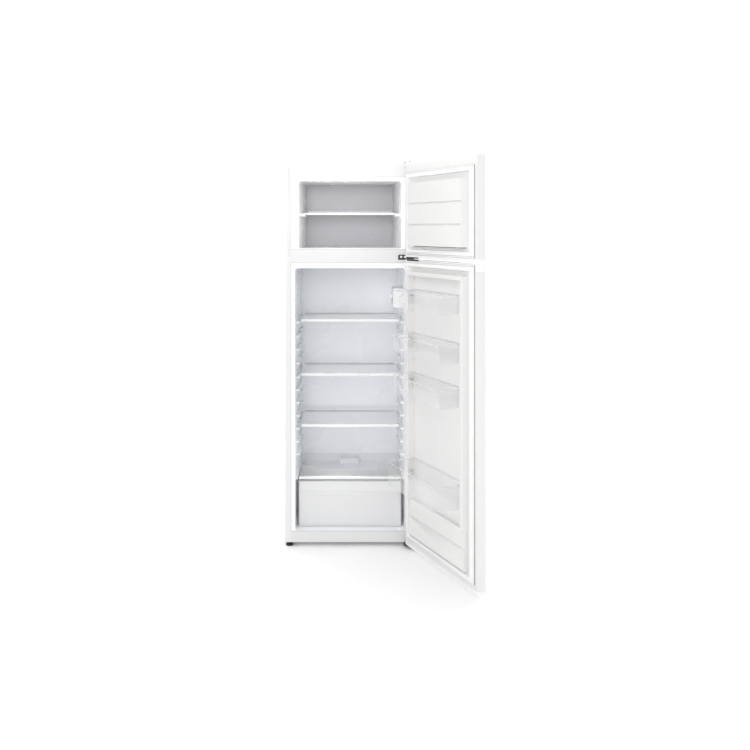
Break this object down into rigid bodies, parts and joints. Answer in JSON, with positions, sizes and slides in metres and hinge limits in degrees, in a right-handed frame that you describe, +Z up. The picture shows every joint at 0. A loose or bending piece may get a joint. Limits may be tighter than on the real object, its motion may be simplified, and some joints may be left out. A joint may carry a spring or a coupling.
{
  "type": "top freezer refrigerator",
  "caption": "Free-standing upright refrigerator with a freezer compartment on top, both doors open, glass shelves, crisper drawer, door bins and a rear condenser.",
  "frame": {"origin": "on the floor, under the middle of the cabinet's front edge", "axes": "+Z up, +X to the right seen from the front, on the hinge side, +Y into the cabinet"},
  "size_m": [0.7525, 1.0529, 1.6004],
  "materials": {
    "white_steel": "gloss",
    "rail_steel": "gloss",
    "back_steel": "satin",
    "zinc_steel": "satin",
    "foam": "matte",
    "liner_plastic": "gloss",
    "white_plastic": "satin",
    "aluminium_plate": "satin",
    "black_enamel": "satin",
    "black_rubber": "matte",
    "dark_plastic": "matte",
    "copper": "satin",
    "hinge_steel": "satin",
    "screw_steel": "satin",
    "lamp_glass": "gloss",
    "clear_plastic": "gloss",
    "shelf_glass": "gloss",
    "gasket": "satin"
  },
  "bodies": {
    "cabinet": {"side_panel_left": "white_steel", "side_panel_right": "white_steel", "top_panel": "white_steel", "top_front_rail": "white_steel", "divider_rail": "rail_steel", "base_pan": "rail_steel", "back_panel": "back_steel", "machine_deck": "zinc_steel", "cabinet_foam": "foam", "freezer_liner": "liner_plastic", "fridge_liner": "liner_plastic", "evaporators": "aluminium_plate", "compressor_tray": "zinc_steel", "compressor": "black_enamel", "compressor_bushes": "black_rubber", "start_relay": "dark_plastic", "evaporating_tray": "dark_plastic", "drain_tube": "white_plastic", "condenser": "black_enamel", "condenser_clips": "white_plastic", "filter_drier": "copper", "refrigerant_pipes": "copper", "rear_feet": "black_rubber", "foot_plate": "hinge_steel", "top_hinge": "hinge_steel", "middle_hinge": "hinge_steel", "bottom_hinge": "hinge_steel", "hinge_screws": "screw_steel", "thermostat_housing": "white_plastic", "lamp": "lamp_glass", "lamp_lens": "clear_plastic", "hole_plugs": "white_plastic"},
    "freezer_door": {"freezer_door_skin": "white_steel", "freezer_door_caps": "white_plastic", "freezer_door_liner": "liner_plastic", "freezer_door_foam": "foam", "freezer_door_gasket": "gasket"},
    "fridge_door": {"fridge_door_skin": "white_steel", "fridge_door_caps": "white_plastic", "fridge_door_liner": "liner_plastic", "fridge_door_foam": "foam", "fridge_door_gasket": "gasket"},
    "bin_upper": {"bin_upper": "clear_plastic"},
    "bin_middle": {"bin_middle": "clear_plastic"},
    "bin_lower": {"bin_lower": "clear_plastic"},
    "bottle_bin": {"bottle_bin": "clear_plastic"},
    "crisper_drawer": {"crisper_drawer": "clear_plastic"},
    "crisper_cover": {"crisper_glass": "shelf_glass", "crisper_trim": "white_plastic"},
    "shelf_low": {"shelf_low_glass": "shelf_glass", "shelf_low_trim": "white_plastic"},
    "shelf_middle": {"shelf_middle_glass": "shelf_glass", "shelf_middle_trim": "white_plastic"},
    "shelf_high": {"shelf_high_glass": "shelf_glass", "shelf_high_trim": "white_plastic"},
    "freezer_shelf": {"freezer_shelf": "white_plastic"},
    "thermostat_knob": {"thermostat_knob": "white_plastic"},
    "light_button": {"light_button": "white_plastic"},
    "foot_left": {"foot_left": "black_rubber"},
    "foot_right": {"foot_right": "black_rubber"}
  },
  "joints": [
    {"name": "freezer_door_hinge", "type": "hinge", "parent": "cabinet", "child": "freezer_door", "pos_m": [0.254, -0.032, 1.4], "axis": [0, 0, 1], "range_deg": [-114, 21]},
    {"name": "fridge_door_hinge", "type": "hinge", "parent": "cabinet", "child": "fridge_door", "pos_m": [0.254, -0.032, 0.6], "axis": [0, 0, 1], "range_deg": [-114, 21]},
    {"name": "bin_upper_lift", "type": "slide", "parent": "fridge_door", "child": "bin_upper", "axis": [0, 0, 1], "range_m": [0, 0.03]},
    {"name": "bin_middle_lift", "type": "slide", "parent": "fridge_door", "child": "bin_middle", "axis": [0, 0, 1], "range_m": [0, 0.03]},
    {"name": "bin_lower_lift", "type": "slide", "parent": "fridge_door", "child": "bin_lower", "axis": [0, 0, 1], "range_m": [0, 0.03]},
    {"name": "bottle_bin_lift", "type": "slide", "parent": "fridge_door", "child": "bottle_bin", "axis": [0, 0, 1], "range_m": [0, 0.03]},
    {"name": "crisper_drawer_slide", "type": "slide", "parent": "cabinet", "child": "crisper_drawer", "axis": [0, -1, 0], "range_m": [0, 0.25]},
    {"name": "crisper_cover_slide", "type": "slide", "parent": "cabinet", "child": "crisper_cover", "axis": [0, -1, 0], "range_m": [0, 0.12]},
    {"name": "shelf_low_slide", "type": "slide", "parent": "cabinet", "child": "shelf_low", "axis": [0, -1, 0], "range_m": [0, 0.12]},
    {"name": "shelf_middle_slide", "type": "slide", "parent": "cabinet", "child": "shelf_middle", "axis": [0, -1, 0], "range_m": [0, 0.12]},
    {"name": "shelf_high_slide", "type": "slide", "parent": "cabinet", "child": "shelf_high", "axis": [0, -1, 0], "range_m": [0, 0.12]},
    {"name": "freezer_shelf_slide", "type": "slide", "parent": "cabinet", "child": "freezer_shelf", "axis": [0, -1, 0], "range_m": [0, 0.1]},
    {"name": "thermostat_turn", "type": "hinge", "parent": "cabinet", "child": "thermostat_knob", "pos_m": [0.1845, 0.138, 1.031], "axis": [-1, 0, 0], "range_deg": [0, 300]},
    {"name": "light_button_press", "type": "slide", "parent": "cabinet", "child": "light_button", "axis": [0, 1, 0], "range_m": [0, 0.004], "stiffness_N_per_m": 120, "springref_m": -0.002},
    {"name": "foot_left_turn", "type": "hinge", "parent": "cabinet", "child": "foot_left", "pos_m": [-0.252, 0.017, 0.01], "axis": [0, 0, 1], "continuous": true},
    {"name": "foot_right_turn", "type": "hinge", "parent": "cabinet", "child": "foot_right", "pos_m": [0.252, 0.017, 0.01], "axis": [0, 0, 1], "continuous": true}
  ]
}
